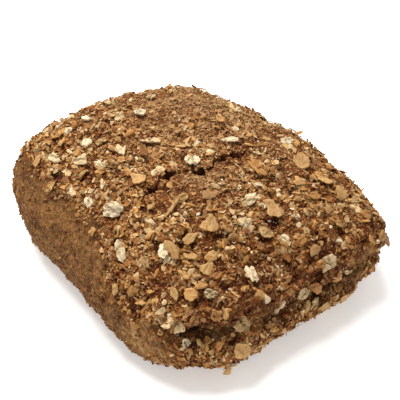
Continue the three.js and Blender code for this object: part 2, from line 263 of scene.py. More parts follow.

# The kinds of flake: dim is the painted shade in their dips, creases and breaks, lift their place above the
# crust, breaks how often they are broken across, cuts how often a piece is cut off, and kept the least that a
# cut leaves
FlakeKind = namedtuple("FlakeKind", "thickness torn lumps bow chalk dim lift crease breaks cuts kept palette")
ROLLED = FlakeKind(
    thickness=0.26, torn=0.24, lumps=0.045, bow=0.5, chalk=0, dim=0.3, lift=0.4, crease=0.15, breaks=0,
    cuts=2, kept=0.5, palette=((TAN, GOLD, HUSK), (0.72, 0.16, 0.12)),
)
PLAIN = ROLLED._replace(cuts=3, kept=0.35, palette=((TAN, HUSK, GOLD, BROWN), (0.35, 0.2, 0.35, 0.1)))
OAT = FlakeKind(
    thickness=0.6, torn=0.26, lumps=0.04, bow=0.05, chalk=0.045, dim=0.25, lift=0.25, crease=0.15, breaks=3,
    cuts=1, kept=0.35, palette=((CREAM, WHITE, TAN), (0.4, 0.5, 0.1)),
)
LOOSE = FlakeKind(
    thickness=0.24, torn=0.3, lumps=0.04, bow=0.3, chalk=0, dim=0.2, lift=0.45, crease=0, breaks=0,
    cuts=3, kept=0.35, palette=((TAN, HUSK, GOLD, BROWN, CREAM), (0.3, 0.15, 0.35, 0.1, 0.1)),
)
LOOSE_COUNT, LOOSE_SIZES, LOOSE_WIDTHS, LOOSE_RISE = 640, (1.5, 3.6), (0.3, 0.7), 0.1

# Light of the floor's own, which keeps the shadow on it faint, and lamps by place, size, power and colour
FLOOR_GLOW = 0.4
LAMPS = {
    "key": ((-0.2, -0.03, 0.63), 0.4, 6.1, (1.0, 0.98, 0.96)),
    "rim": ((-0.3, 0.5, 0.3), 0.35, 0.5, (0.85, 0.85, 1.0)),
}
DAYLIGHT, DAYLIGHT_STRENGTH = (1, 0.97, 0.92, 1), 0.49

# The camera: its bearing, rise and distance, and how far the photo's frame lies off the roll's middle
CAMERA_BEARING, CAMERA_RISE, CAMERA_DISTANCE, CAMERA_LENS = 54.65, 33.5, 193.0, 62.4
AIM_RIGHT, AIM_DOWN = 4.0, 3.0

Surface = namedtuple("Surface", "points normals triangles bare quiet dips tone")

rng = np.random.default_rng(7)


def linear(colour):
    """Screen colour to the linear colour that shaders take."""
    share = np.asarray(colour, float) / 255
    return np.where(share <= 0.04045, share / 12.92, ((share + 0.055) / 1.055) ** 2.4)


def smooth_step(low, high, value):
    share = np.clip((value - low) / (high - low), 0, 1)
    return share * share * (3 - 2 * share)


def bell(distance, half_width):
    return np.exp(-(distance / half_width) ** 2)


def around(points, place, reach):
    """1 at a place and less around it, where a place of two numbers is one of the plan."""
    return bell(np.linalg.norm(points[:, :len(place)] - place, axis=1), reach)


def unit(vectors):
    return vectors / np.maximum(np.linalg.norm(vectors, axis=-1, keepdims=True), TINY)


def top_at(x):
    """How far the smooth form's top lies above its widest outline."""
    return HEIGHT * (1 - NEAR_END_DROP * x / LENGTH) - WIDEST_AT


def smooth_surface(direction):
    """Where rays from the middle of the widest outline leave the smooth form, and the way out there."""
    ahead, aside, up = direction.T
    power = np.where(up >= 0, DOME_POWER, FOOT_POWER)
    reach = np.where(up >= 0, HEIGHT - WIDEST_AT, FOOT_REACH)
    along = np.abs(ahead) / (LENGTH / 2)
    across = np.abs(aside) / (WIDTH / 2)
    plan = np.maximum((along ** PLAN_POWER + across ** PLAN_POWER) ** (1 / PLAN_POWER), TINY)
    rise = np.abs(up) / reach
    scale = (plan ** power + rise ** power) ** (-1 / power)

    x = ahead * scale
    y = aside * scale * (1 + NEAR_END_SPREAD * x / LENGTH)
    lift = np.where(up >= 0, top_at(x) / reach, 1)
    points = np.stack([x, y, WIDEST_AT + up * scale * lift], axis=1)

    side = (plan * scale) ** (power - 1)
    steepness = np.stack([
        side * (along / plan) ** (PLAN_POWER - 1) / (LENGTH / 2),
        side * (across / plan) ** (PLAN_POWER - 1) / (WIDTH / 2),
        (rise * scale) ** (power - 1) / reach,
    ], axis=1)
    return points, unit(np.sign(direction) * steepness)


def direction_to(places):
    """The direction in which the smooth form's rays reach each place: smooth_surface turned round."""
    x, y, z = places.T
    spread = 1 + NEAR_END_SPREAD * x / LENGTH
    lift = np.where(z > WIDEST_AT, top_at(x) / (HEIGHT - WIDEST_AT), 1)
    return unit(np.stack([x, y / spread, (z - WIDEST_AT) / lift], axis=1))


def stretched(sphere_points):
    return unit(sphere_points * (LENGTH / 2, WIDTH / 2, HEIGHT - WIDEST_AT))


def furrow_share(points):
    """1 along the bottom of the near end's furrow, 0 away from it."""
    x, y, z = points.T
    height = FURROW_HEIGHT + FURROW_TILT * y
    return smooth_step(FURROW_FROM, FURROW_TO, x) * bell(z - height, FURROW_HALF_WIDTH)


def relief(points):
    """How far the crust stands out of the smooth form, as on the solid."""
    x, y, z = points.T
    height = np.zeros(len(points))
    wavelength = LUMP_LONGEST
    for i in range(LUMP_COUNT):
        dip = 1 - (2 * i + 1) / LUMP_COUNT
        level = math.sqrt(1 - dip * dip)
        heading = i * GOLDEN_ANGLE
        reach = x * level * math.cos(heading) + y * level * math.sin(heading) + z * dip
        height += wavelength * LUMP_STEEPNESS * np.sin(math.tau * reach / wavelength + i)
        wavelength *= LUMP_SHRINK
    for *place, rise, reach in SWELLS:
        height += rise * around(points, place, reach)
    height -= FURROW_DEPTH * furrow_share(points)
    height += LIP_RISE * smooth_step(FURROW_FROM, FURROW_TO, x) * bell(z - LIP_HEIGHT, LIP_HALF_WIDTH)
    fold = bell(x - FOLD_PLACE - FOLD_TURN * y, FOLD_HALF_WIDTH)
    height += FOLD_RISE * fold * smooth_step(WIDEST_AT, HEIGHT, z)
    return height * smooth_step(0, LUMP_FADE, z)


def crust_at(direction):
    points, normals = smooth_surface(direction)
    points = points + normals * relief(points)[:, None]
    points[:, 2] = np.maximum(points[:, 2], 0)
    return points, normals


def crack_place(y):
    """Where the crack runs along X at each place across the roll."""
    along = y - BEND_PLACE
    bend = BEND_REACH * np.sin(BEND_TURN * along) * bell(along, BEND_HALF_LENGTH)
    return CRACK_MIDDLE + CRACK_TURN * y + bend


def crack_opening(y):
    """How far the crack gapes, as a share of its usual width."""
    opening = CRACK_HAIRLINE + sum(size * bell(y - place, HOLE_HALF_LENGTH) for place, size in CRACK_HOLES)
    fade = smooth_step(0, CRACK_FADE, y - CRACK_START) * smooth_step(0, CRACK_FADE, CRACK_END - y)
    return opening * fade


def from_crack(points):
    """Distance across the crack from its line, and the half width of its worn edges there."""
    x, y, z = points.T
    wiggle = sum(reach * np.sin(rate * y + phase) for reach, rate, phase in CRACK_WIGGLES)
    off = np.abs(x - crack_place(y) - wiggle) + OFF_TOP * (z < HEIGHT / 2)
    return off, CRACK_WIDTH / 2 * CRACK_WEAR * crack_opening(y)


def quiet_share(points, normals):
    """1 in the quiet parts of the top, which carry few flakes and shards."""
    quiet = np.zeros(len(points))
    for *place, reach in QUIET_PLACES:
        quiet = np.maximum(quiet, around(points, place, reach))
    return quiet * smooth_step(QUIET_FROM, QUIET_TO, normals[:, 2])


def clouds(points, size, octaves=3):
    """Smooth random patches of about the given size, mostly between -1 and 1."""
    return np.array([noise.fractal(Vector(p), 1.0, 2.1, octaves) for p in points / size])


def painted_end_shade(points, normals, share):
    """Painted shade of the near end: the darker and redder tone by which pieces' colours are multiplied."""
    end = smooth_step(END_FROM, END_TO, normals[:, 0]) * smooth_step(END_LOW, END_HIGH, points[:, 2])
    return 1 - END_SHADE * (end * share)[:, None]


def bare_patches(points, ragged):
    """1 on the patches of dough where the roll was torn from its neighbours."""
    patches = np.zeros(len(points))
    for *place, reach in BARE_PATCHES:
        patch = smooth_step(PATCH_FROM, PATCH_TO, around(points, place, reach) + ragged)
        patches = np.maximum(patches, patch)
    return patches


def below_coat(points, ragged=0.0):
    """1 below the height where the coat of bran ends on the long sides, which drops near the low end."""
    x, _, z = points.T
    edge = COAT_EDGE - COAT_DROP * smooth_step(COAT_DROP_FROM, COAT_DROP_TO, x) + ragged
    return smooth_step(-COAT_BLUR, COAT_BLUR, edge - z)


def bare_share(points, normals):
    """From 0 where bran sticks to 1 on bare dough, and the same for the bare patches alone."""
    facing = np.abs(normals[:, 1]) - SIDE_TURN * np.abs(normals[:, 0])
    sides = smooth_step(SIDE_FROM, SIDE_TO, facing)
    sides *= below_coat(points, EDGE_RAGGED * clouds(points, EDGE_SIZE))
    ragged = PATCH_RAGGED * clouds(points, PATCH_SIZE)
    patches = bare_patches(points, ragged)
    furrow = FURROW_BARE * smooth_step(FURROW_BARE_FROM, FURROW_BARE_TO, furrow_share(points) + ragged)
    return np.maximum(np.maximum(sides, patches), furrow), patches


def in_scene(name, data):
    """A new object in the scene with the given mesh, light or camera."""
    thing = bpy.data.objects.new(name, data)
    bpy.context.collection.objects.link(thing)
    return thing


def add_layer(layers, name, kind, field, values):
    """A new layer with a value for each of a mesh's points."""
    layer = layers.new(name, kind, "POINT")
    layer.data.foreach_set(field, values.astype(np.float32).ravel())


def make_object(name, points, triangles, look, tint=None, grain=None, smooth=True):
    """A mesh object from arrays in millimetres, with an optional colour and grain place for each vertex."""
    mesh = bpy.data.meshes.new(name)
    mesh.vertices.add(len(points))
    mesh.vertices.foreach_set("co", (points * MM).astype(np.float32).ravel())
    mesh.loops.add(triangles.size)
    mesh.loops.foreach_set("vertex_index", triangles.astype(np.int32).ravel())
    mesh.polygons.add(len(triangles))
    mesh.polygons.foreach_set("loop_start", np.arange(0, triangles.size, 3, dtype=np.int32))
    mesh.polygons.foreach_set("use_smooth", np.broadcast_to(smooth, len(triangles)))
    mesh.update(calc_edges=True)
    if tint is not None:
        opaque = np.column_stack([tint, np.ones(len(tint))])
        add_layer(mesh.color_attributes, "tint", "FLOAT_COLOR", "color", opaque)
    if grain is not None:
        add_layer(mesh.attributes, "grain", "FLOAT_VECTOR", "vector", grain)
    mesh.materials.append(look)
    piece = in_scene(name, mesh)
    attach(piece, "root")
    return piece


def cube_direction(corners):
    return stretched(unit(np.tan(corners * math.pi / 4)))


def mesh_arrays(shape):
    """Corners and triangles of a finished bmesh, which is freed."""
    shape.verts.index_update()
    corners = np.array([vert.co[:] for vert in shape.verts])
    triangles = np.array([[vert.index for vert in face.verts] for face in shape.faces])
    shape.free()
    return corners, triangles


def cut_cube():
    """A cube's skin cut fine, and finer where the crack runs: its corners and triangles."""
    cube = bmesh.new()
    bmesh.ops.create_cube(cube, size=2)
    bmesh.ops.subdivide_edges(cube, edges=cube.edges[:], cuts=CRUST_CUTS, use_grid_fill=True)
    cube.verts.index_update()
    points, _ = crust_at(cube_direction(np.array([vert.co[:] for vert in cube.verts])))
    along = (points[:, 1] > CRACK_START) & (points[:, 1] < CRACK_END)
    near = (from_crack(points)[0] < FINE_REACH) & along
    fine = [edge for edge in cube.edges if near[edge.verts[0].index] and near[edge.verts[1].index]]
    bmesh.ops.subdivide_edges(cube, edges=fine, cuts=FINE_CUTS, use_grid_fill=True)
    bmesh.ops.triangulate(cube, faces=cube.faces[:])
    return mesh_arrays(cube)


def fine_relief(points, bare, quiet):
    """How far the fine relief stands out, and from 0 to 1 its dips and the torn parts of the furrow."""
    waves = clouds(points, WAVE_SIZE, 2)
    furrow = furrow_share(points)
    torn = furrow * smooth_step(-0.5, 0.2, -waves)
    knobs = clouds(points, KNOB_SIZE)
    knob_height = LEAST_KNOB_HEIGHT + KNOB_HEIGHT * (1 - quiet) * (1 - 0.5 * bare)
    height = knob_height * knobs + WAVE_HEIGHT * clouds(points, WAVE_SIZE)
    tear_height = TEAR_HEIGHT * torn + BARE_TEAR_HEIGHT * bare
    height += tear_height * clouds(points, TEAR_SIZE, 2) + FURROW_WAVE_HEIGHT * furrow * waves
    dips = smooth_step(DIP_FROM, DIP_TO, -knobs) * (1 - 0.8 * quiet)
    return height * smooth_step(0, ROUGH_FADE, points[:, 2]), dips, torn


def points_and_normals(piece):
    """A mesh's points in millimetres and the way out at each."""
    arrays = []
    for source, field in ((piece.data.vertices, "co"), (piece.data.vertex_normals, "vector")):
        values = np.empty(len(source) * 3, dtype=np.float32)
        source.foreach_get(field, values)
        arrays.append(values.reshape(-1, 3).astype(float))
    return arrays[0] / MM, arrays[1]


def make_crust():
    """The dough: a cube's skin blown up to the dough's form, with fine relief, pores and the crack."""
    corners, triangles = cut_cube()
    points, normals = crust_at(cube_direction(corners))
    bare, patches = bare_share(points, normals)
    quiet = quiet_share(points, normals)
    height, dips, torn = fine_relief(points, bare, quiet)
    off, half_width = from_crack(points)
    crack = np.clip(CRACK_SLOPE - off / np.maximum(half_width, TINY), 0, 1)
    pores = bare * smooth_step(PORE_FROM, PORE_TO, clouds(points + PORE_SHIFT, PORE_SIZE, 2))
    depth = CRACK_DEEPENING * CRACK_DEPTH * crack * crack_opening(points[:, 1]) + PORE_DEPTH * pores
    points = points - normals * (depth - height)[:, None]
    points[:, 2] = np.maximum(points[:, 2], 0)

    piece = make_object("dough", points, triangles, dough_material())
    # Painted shade: the crack, the torn parts of the furrow, the pores and the dips take on the dark gap
    # colour
    shade = crack + TORN_SHADE * torn + PORE_SHADE * pores + DIP_GAP * dips * (1 - BARE_DIP_LOSS * bare)
    for name, values in (("bare", bare), ("pale", patches), ("shade", np.clip(shade, 0, 1))):
        add_layer(piece.data.attributes, name, "FLOAT", "value", values)
    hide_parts("roll")
    # Painted shade for the pieces on the crust: darker and redder in dips, darker in the torn furrow and on
    # the near end, and lighter on the bare patches
    tone = (1 - DIP_SHADE * dips[:, None]) * ((1 - 0.5 * torn) * (1 + 0.25 * patches))[:, None]
    tone *= painted_end_shade(points, normals, 1 - bare)
    return Surface(*points_and_normals(piece), triangles, bare, quiet, dips, tone)


def vertex_areas(points, triangles):
    a, b, c = points[triangles[:, 0]], points[triangles[:, 1]], points[triangles[:, 2]]
    area = np.linalg.norm(np.cross(b - a, c - a), axis=1) / 2
    return np.bincount(triangles.ravel(), np.repeat(area / 3, 3), minlength=len(points))


def standing_frames(normals, tilt):
    """Axes for scattered pieces: any heading, leaning off the surface by up to the given slope."""
    count = len(normals)
    lean = rng.normal(0, 1, (count, 3)) * (tilt * rng.random((count, 1)))
    up = unit(normals + lean)
    along = unit(np.cross(rng.normal(0, 1, (count, 3)), up))
    return np.stack([along, np.cross(up, along), up], axis=2)


def headed_frames(normals, headings):
    """Axes for flakes whose heading is known, measured from level as on the solid."""
    east = unit(np.cross((0.0, 0.0, 1.0), normals))
    north = np.cross(normals, east)
    along = east * np.cos(headings)[:, None] + north * np.sin(headings)[:, None]
    return np.stack([along, np.cross(normals, along), normals], axis=2)


def joined(shapes, triangles):
    """One mesh from many copies of one kind: points of each copy, and the triangles of one."""
    count, corners = shapes.shape[:2]
    offsets = np.arange(count)[:, None, None] * corners
    return shapes.reshape(-1, 3), (triangles[None] + offsets).reshape(-1, 3)


def placed(shapes, axes, spots):
    return np.einsum("nij,nvj->nvi", axes, shapes) + spots[:, None, :]


def within(points):
    """Points with none under the floor or too far above the solid."""
    return np.column_stack([points[:, :2], np.clip(points[:, 2], LOWEST, CEILING)])


class Disc:
    """A closed disc of two skins of triangles, which share a sharp rim or have a narrow band between."""

    def __init__(self, rings, sides, sharp):
        self.radius = np.concatenate([[0], np.repeat(np.linspace(1 / rings, 1, rings), sides)])
        self.angle = np.concatenate([[0], np.tile(np.arange(sides) * math.tau / sides, rings)])
        upper = []
        for side in range(sides):
            after = (side + 1) % sides
            upper.append((0, 1 + side, 1 + after))
            for here in range(1, 1 + (rings - 1) * sides, sides):
                out = here + sides
                upper += [(here + side, out + side, out + after), (here + side, out + after, here + after)]
        count = len(self.radius)
        rim = range(count - sides, count)
        self.below = count - sides if sharp else count
        partner = [count + k if k < self.below else k for k in range(count)]
        lower = [(partner[a], partner[c], partner[b]) for a, b, c in upper]
        band = []
        if not sharp:
            for here, there in zip(rim, [*rim[1:], rim[0]]):
                band += [(here, count + here, there), (there, count + here, count + there)]
        self.triangles = np.array(upper + lower + band)
        self.smooth = np.arange(len(self.triangles)) < len(upper) + len(lower)

    def both(self, values):
        """The upper skin's values for each point of both skins."""
        return np.concatenate([values, values[:, :self.below]], axis=1)

    def skins(self, x, y, middle, thickness):
        """Both skins' points, from the places of the upper one and the height halfway between them."""
        top = np.stack([x, y, middle + thickness / 2], axis=2)
        bottom = np.stack([x, y, middle - thickness / 2], axis=2)
        return np.concatenate([top, bottom[:, :self.below]], axis=1)


def chips(disc, length, width, thickness, curl):
    """Shards of bran: thin sharp-edged chips with ragged rims, rolled along their length and twisted."""
    count = len(length)
    ragged = disc.radius * rng.uniform(0.6, 1.15, (count, len(disc.radius)))
    u = ragged * np.cos(disc.angle)
    v = ragged * np.sin(disc.angle) * (1 - rng.uniform(0, 0.6, (count, 1)) * u)
    bend = curl * (0.2 + rng.random((count, 1))) * rng.choice((-1, 1), (count, 1), p=(0.35, 0.65))
    roll_radius = length[:, None] / 2 / bend
    x = roll_radius * np.sin(bend * u)
    middle = roll_radius * (1 - np.cos(bend * u)) + rng.normal(0, 0.2, (count, 1)) * width[:, None] * u * v
    return disc.skins(x, width[:, None] / 2 * v, middle, thickness * (1 - disc.radius ** 2))


def draw_colours(palette, count):
    """A random colour for each piece, mixed from two of the palette's."""
    colours, weights = palette
    table = linear(colours)
    first = table[rng.choice(len(table), count, p=weights)]
    second = table[rng.choice(len(table), count, p=weights)]
    share = rng.random((count, 1)) * 0.5
    return (first * (1 - share) + second * share) * rng.uniform(0.8, 1.2, (count, 1))


def spread_over(surface, weight, count, jitter):
    """Places on the crust drawn by weight, the way up there, and which points of the crust they are near."""
    chosen = rng.choice(len(surface.points), count, p=weight / weight.sum())
    ups = surface.normals[chosen]
    return surface.points[chosen] + rng.normal(0, jitter, (count, 3)) * (1 - np.abs(ups)), ups, chosen


def toned(tint, surface, chosen):
    """Each piece's colour, dimmed in dips, the furrow and the near end by the crust's painted shade, and
    evened out where the top is quiet.
    """
    calm = CALM_SHARE * surface.quiet[chosen, None]
    return (tint * (1 - calm) + linear(EVEN) * calm) * surface.tone[chosen]


def rim_tone_and_highlight(disc, middle, rise, power):
    """How light a disc is, from its middle to its rim: the rim's paler colour, partly the piece's own and
    partly a painted highlight along its edge.
    """
    return disc.both(np.broadcast_to(middle + rise * disc.radius ** power, (1, len(disc.radius))))


def make_bran(name, surface, weight, kind, look):
    """Curled shards of bran on the crust."""
    disc = Disc(kind.rings, kind.sides, sharp=True)
    length = rng.uniform(*kind.sizes, kind.count)
    width = length * rng.uniform(0.3, 0.85, kind.count)
    shapes = chips(disc, length, width, kind.thickness, kind.curl)
    spots, ups, chosen = spread_over(surface, weight, kind.count, 0.4)
    spots = spots + ups * (kind.lift * length)[:, None]
    colours = toned(draw_colours(MIXED, kind.count), surface, chosen)
    tint = np.repeat(colours[:, None, :], shapes.shape[1], axis=1)
    # Paler rims and darker bodies: partly the bran's own colour, partly a painted highlight along the edges
    tint = tint * rim_tone_and_highlight(disc, 0.78, 0.36, 1)[:, :, None] * rng.uniform(0.85, 1.15, (*tint.shape[:2], 1))
    points, triangles = joined(placed(shapes, standing_frames(ups, kind.tilt), spots), disc.triangles)
    make_object(name, within(points), triangles, look, tint.reshape(-1, 3), smooth=False)


def make_grains(name, surface, weight, kind, look):
    """Fine grains: small uneven crumbs with few sides."""
    count, (corners, faces) = kind.count, kind.shape
    spots, ups, chosen = spread_over(surface, weight, count, 0.35)
    size = rng.uniform(*kind.sizes, (count, 1, 1)) * rng.uniform(0.45, 1.35, (count, 1, 3))
    shapes = np.array(corners) * size + rng.normal(0, 0.06, (count, len(corners), 3))
    axes = standing_frames(ups, 1.0)
    points, triangles = joined(placed(shapes, axes, spots - kind.sunk * ups), np.array(faces))
    tint = np.repeat(toned(draw_colours(kind.palette, count), surface, chosen), len(corners), axis=0)
    make_object(name, within(points), triangles, look, tint, smooth=False)


def unit_ball(detail):
    ball = bmesh.new()
    bmesh.ops.create_icosphere(ball, subdivisions=detail, radius=1)
    return mesh_arrays(ball)


def broken_balls(corners, sizes):
    """Crumbs: rough balls broken off along flat faces, and how far each corner stands out."""
    count = len(sizes)
    radius = np.ones((count, len(corners)))
    for rate, height in ((2.4, 0.14), (2.4, 0.14), (6, 0.07), (6, 0.07)):
        waves = rng.normal(0, rate, (count, 3))
        phase = rng.uniform(0, math.tau, (count, 1))
        radius += height * np.sin(np.einsum("nj,vj->nv", waves, corners) + phase)
    for _ in range(6):
        facing = np.einsum("nj,vj->nv", unit(rng.normal(0, 1, (count, 3))), corners)
        depth = rng.uniform(0.5, 0.9, (count, 1))
        radius = np.where(facing > 0.2, np.minimum(radius, depth / np.maximum(facing, 0.2)), radius)
    radius += rng.normal(0, 0.035, radius.shape)
    squeeze = np.stack([np.ones(count), rng.uniform(0.55, 0.9, count), rng.uniform(0.35, 0.6, count)], axis=1)
    return corners * radius[:, :, None] * squeeze[:, None, :] * sizes[:, None, None] * 0.6, radius


def grain_places(shapes):
    """Where each point lies in its own piece, moved apart so that no two pieces have the same markings."""
    return (shapes + rng.uniform(0, 90, (len(shapes), 1, 3)) * (0, 0, 1)).reshape(-1, 3)


def make_crumbs(name, surface, weight, sizes, detail, look):
    """White oat crumbs, single and in small groups."""
    count = len(sizes)
    leaders = count // 2
    spots, ups, _ = spread_over(surface, weight, leaders, 0.3)
    chosen = rng.choice(leaders, count - leaders)
    aside = rng.normal(0, 1, (len(chosen), 3))
    aside -= ups[chosen] * np.sum(aside * ups[chosen], axis=1, keepdims=True)
    spots = np.concatenate([spots, spots[chosen] + aside])
    ups = np.concatenate([ups, ups[chosen]])
    corners, triangles = unit_ball(detail)
    shapes, radius = broken_balls(corners, sizes)
    spots = spots + ups * (0.15 * sizes)[:, None]
    points, triangles = joined(placed(shapes, standing_frames(ups, 0.4), spots), triangles)
    colours = draw_colours(OATEN, count) * painted_end_shade(spots, ups, 0.6)
    # Painted shade: each corner darker the lower it lies, in the crumb's hollows and on its broken-off faces,
    # and lighter on its bumps
    tint = colours[:, None, :] * np.clip(0.45 + 0.6 * radius, 0.75, 1.05)[:, :, None]
    tint = tint.reshape(-1, 3)
    make_object(name, within(points), triangles, look, tint, grain_places(shapes), smooth=False)


def make_husks(look):
    """Long thin husks, each from one place to another."""
    starts, ends, widths, colours = (np.array(column, float) for column in zip(*HUSKS))
    _, ups = crust_at(direction_to((starts + ends) / 2))
    along = unit(ends - starts)
    across = unit(np.cross(ups, along))
    axes = np.stack([along, across, np.cross(along, across)], axis=2)
    disc = Disc(3, 12, sharp=True)
    shapes = chips(disc, np.linalg.norm(ends - starts, axis=1), widths, 0.5 * np.sqrt(widths)[:, None], 0.3)
    points, triangles = joined(placed(shapes, axes, (starts + ends) / 2), disc.triangles)
    tint = np.repeat(linear(colours), shapes.shape[1], axis=0)
    make_object("husks", within(points), triangles, look, tint, grain_places(shapes), smooth=False)


def repeatable_draws(seed):
    """The solid's own draws between 0 and 1."""
    while True:
        seed = (seed * DRAW_FACTOR + DRAW_STEP) % DRAW_RANGE
        yield seed / DRAW_RANGE


def flake_share(points, normals):
    """The share of flakes that stick at each point."""
    long_side = smooth_step(BARE_SIDE_FROM, BARE_SIDE_TO, np.abs(normals[:, 1]))
    share = (1 - BARE_SIDE_SHARE * below_coat(points) * long_side) * (1 - furrow_share(points))
    on_top = smooth_step(QUIET_FROM, QUIET_TO, normals[:, 2])
    for *place, reach in QUIET_PLACES:
        share *= 1 - QUIET_SHARE * on_top * around(points, place, reach)
    for *place, reach in BARE_PATCHES:
        share *= 1 - BARE_PATCH_SHARE * around(points, place, reach)
    return share


def clear_of_crack(point, length):
    x, y, z = point
    beside = abs(x - crack_place(y)) > length / 2 + CRACK_MARGIN
    return beside or y < CRACK_START or y > CRACK_END or z < HEIGHT / 2


def solid_flakes():
    """Spots, sizes, headings and corners of the flakes fused to the solid, by the solid's own rule."""
    draws = repeatable_draws(FLAKE_SEED)
    flakes = []
    for x, y, z, length, width, degrees in GRAIN_FLAKES + OAT_FLAKES:
        points, normals = crust_at(direction_to(np.array([[x, y, z]], float)))
        flakes.append((points[0], normals[0], length, width, math.radians(degrees)))
    for i in range(FLAKE_TRIES):
        if len(flakes) == FLAKE_COUNT:
            break
        dip = 1 - SCATTER_DIP * ((i * EVEN_STEP) % 1)
        turn = math.tau * ((i * EVEN_STEP * EVEN_STEP) % 1)
        level = math.sqrt(1 - dip * dip)
        sphere_point = np.array([[level * math.cos(turn), level * math.sin(turn), dip]])
        points, normals = crust_at(stretched(sphere_point))
        largest = FLAKE_LONGEST - (FLAKE_LONGEST - FLAKE_SHORTEST) * (i / FLAKE_TRIES)
        length = FLAKE_SHORTEST + (largest - FLAKE_SHORTEST) * next(draws)
        width = length * (FLAKE_WIDTH_LEAST + FLAKE_WIDTH_RANGE * next(draws))
        heading = math.pi * next(draws)
        kept = next(draws) < flake_share(points, normals)[0] and points[0, 2] > FLAKE_LOWEST
        kept = kept and clear_of_crack(points[0], length)
        room = all(np.linalg.norm(points[0] - other[0]) > FLAKE_GAP * (length + other[2]) for other in flakes)
        if kept and room:
            flakes.append((points[0], normals[0], length, width, heading))
    corners = np.array([[[next(draws) for _ in range(3)] for _ in range(FLAKE_SIDES)] for _ in flakes])
    return flakes, corners


def cornered_radius(corners, angles):
    """Radius of each flake's outline at the given angles: straight torn sides between its corners."""
    turns = math.tau * (np.arange(FLAKE_SIDES) + CORNER_WANDER * corners[:, :, 0]) / FLAKE_SIDES
    sizes = CORNER_LEAST + CORNER_RANGE * corners[:, :, 1]
    next_turns = np.roll(turns, -1, axis=1)
    next_turns[:, -1] += math.tau
    next_sizes = np.roll(sizes, -1, axis=1)
    radius = np.zeros((len(corners), len(angles)))
    for side in range(FLAKE_SIDES):
        here, there = sizes[:, side, None], next_sizes[:, side, None]
        span = (next_turns - turns)[:, side, None]
        turn = (angles - turns[:, side, None]) % math.tau
        straight = here * there * np.sin(span)
        chord = straight / np.maximum(here * np.sin(turn) + there * np.sin(span - turn), 0.2)
        radius = np.where(turn < span, chord, radius)
    return radius


def broken_outline(corners, angles, kind):
    """The cornered outline with its corners a little rounded, its rim torn and pieces broken off it."""
    each = (len(corners), 1)
    near = [cornered_radius(corners, angles + step) for step in (-0.05, 0, 0.05)]
    rim = sum(near) / len(near)
    for turn in (5, 8, 13):
        phase = rng.uniform(0, math.tau, each)
        rim += kind.torn / turn * rng.normal(0, 1, each) * np.cos(turn * angles + phase)
    for _ in range(2):
        bite = rng.uniform(-0.2, 0.38, each).clip(0)
        apart = (angles - rng.uniform(0, math.tau, each)) % math.tau - math.pi
        rim *= 1 - bite * bell(apart, 0.22)
    for _ in range(kind.cuts):
        facing = np.cos(angles - rng.uniform(0, math.tau, each))
        depth = rng.uniform(kind.kept, 1.1, each)
        rim = np.where(facing > 0.1, np.minimum(rim, depth / np.maximum(facing, 0.1)), rim)
    return rim


def surface_waves(x, y, fineness):
    """Uneven waves over each flake, about -1 to 1."""
    total = np.zeros_like(x)
    for _ in range(4):
        heading, phase = rng.uniform(0, math.tau, (2, len(x), 1))
        rate = fineness * rng.uniform(0.6, 1.6, (len(x), 1))
        total += np.sin(rate * (x * np.cos(heading) + y * np.sin(heading)) + phase)
    return total / 2.5


def broken_steps(x, y, count):
    """Where brittle flakes are broken across: how high each part stands, and 1 in the gaps between them."""
    each = (len(x), 1)
    step = np.zeros_like(x)
    gap = np.zeros_like(x)
    grain = rng.uniform(0, math.pi, each)
    for _ in range(count):
        heading = grain + rng.normal(0, 0.35, each)
        along = y * np.cos(heading) - x * np.sin(heading)
        across = x * np.cos(heading) + y * np.sin(heading) - rng.normal(0, 0.9, each)
        across += 0.12 * np.sin(4 * along + 9 * heading)
        step += rng.normal(0, 0.12, each) * np.sign(across)
        gap = np.maximum(gap, bell(across, 0.14))
    return step, gap


def flake_shapes(disc, corners, length, width, rise, kind):
    """Flakes domed as on the solid, with waves, breaks and torn sides, and how high each part lies, lowest in
    dips, creases and breaks, which sets their painted shade.
    """
    outline = broken_outline(corners, disc.angle, kind)
    outline += kind.torn * rng.normal(0, 0.2, outline.shape) * (disc.radius == 1)
    x = disc.radius * outline * np.cos(disc.angle) * length[:, None] / 2
    y = disc.radius * outline * np.sin(disc.angle) * width[:, None] / 2
    rim_share = RIM_LEAST + RIM_RANGE * corners[:, :, 2].mean(axis=1)[:, None]
    dome = rise[:, None] * (1 + 0.6 * (rim_share - 1) * disc.radius ** 3)
    lean = rng.normal(0, 0.1, (2, len(length), 1))
    cup = kind.bow * rng.normal(0, 1, (2, len(length), 1)) / length[:, None]
    waves = 0.08 * surface_waves(x, y, 1.6) + kind.lumps * surface_waves(x, y, 4.5)
    crease = kind.crease * rng.choice((0, 1), (len(length), 1)) * bell(y + 0.25 * np.sin(x), 0.2)
    step, gap = broken_steps(x, y, kind.breaks)
    middle = dome + cup[0] * x ** 2 + cup[1] * y ** 2 + lean[0] * x + lean[1] * y
    middle += waves - crease + step - 0.4 * gap + rng.normal(0, kind.chalk, x.shape)
    height = np.clip(0.7 + (waves - crease) / (2 * kind.lumps + 0.16) - 0.7 * gap, 0, 1)
    return disc.skins(x, y, middle, kind.thickness * (1 - 0.35 * disc.radius ** 4)), disc.both(height)


def make_flakes(name, disc, shapes, height, spots, axes, kind, look):
    """Flakes laid on the crust, paler at their rims, partly as painted highlight, and darker in their dips as
    painted shade.
    """
    count = len(shapes)
    points, triangles = joined(placed(shapes, axes, spots + axes[:, :, 2] * kind.lift), disc.triangles)
    # Paler rims, partly painted highlight, and painted shade: darker in the dips, creases and breaks
    shade = rim_tone_and_highlight(disc, 0.92, 0.18, 6) * (1 - kind.dim + kind.dim * height)
    colours = draw_colours(kind.palette, count) * painted_end_shade(spots, axes[:, :, 2], 0.5)
    tint = colours[:, None, :] * shade[:, :, None]
    smooth = np.tile(disc.smooth & (kind.chalk == 0), count)
    make_object(name, within(points), triangles, look, tint.reshape(-1, 3), grain_places(shapes), smooth)


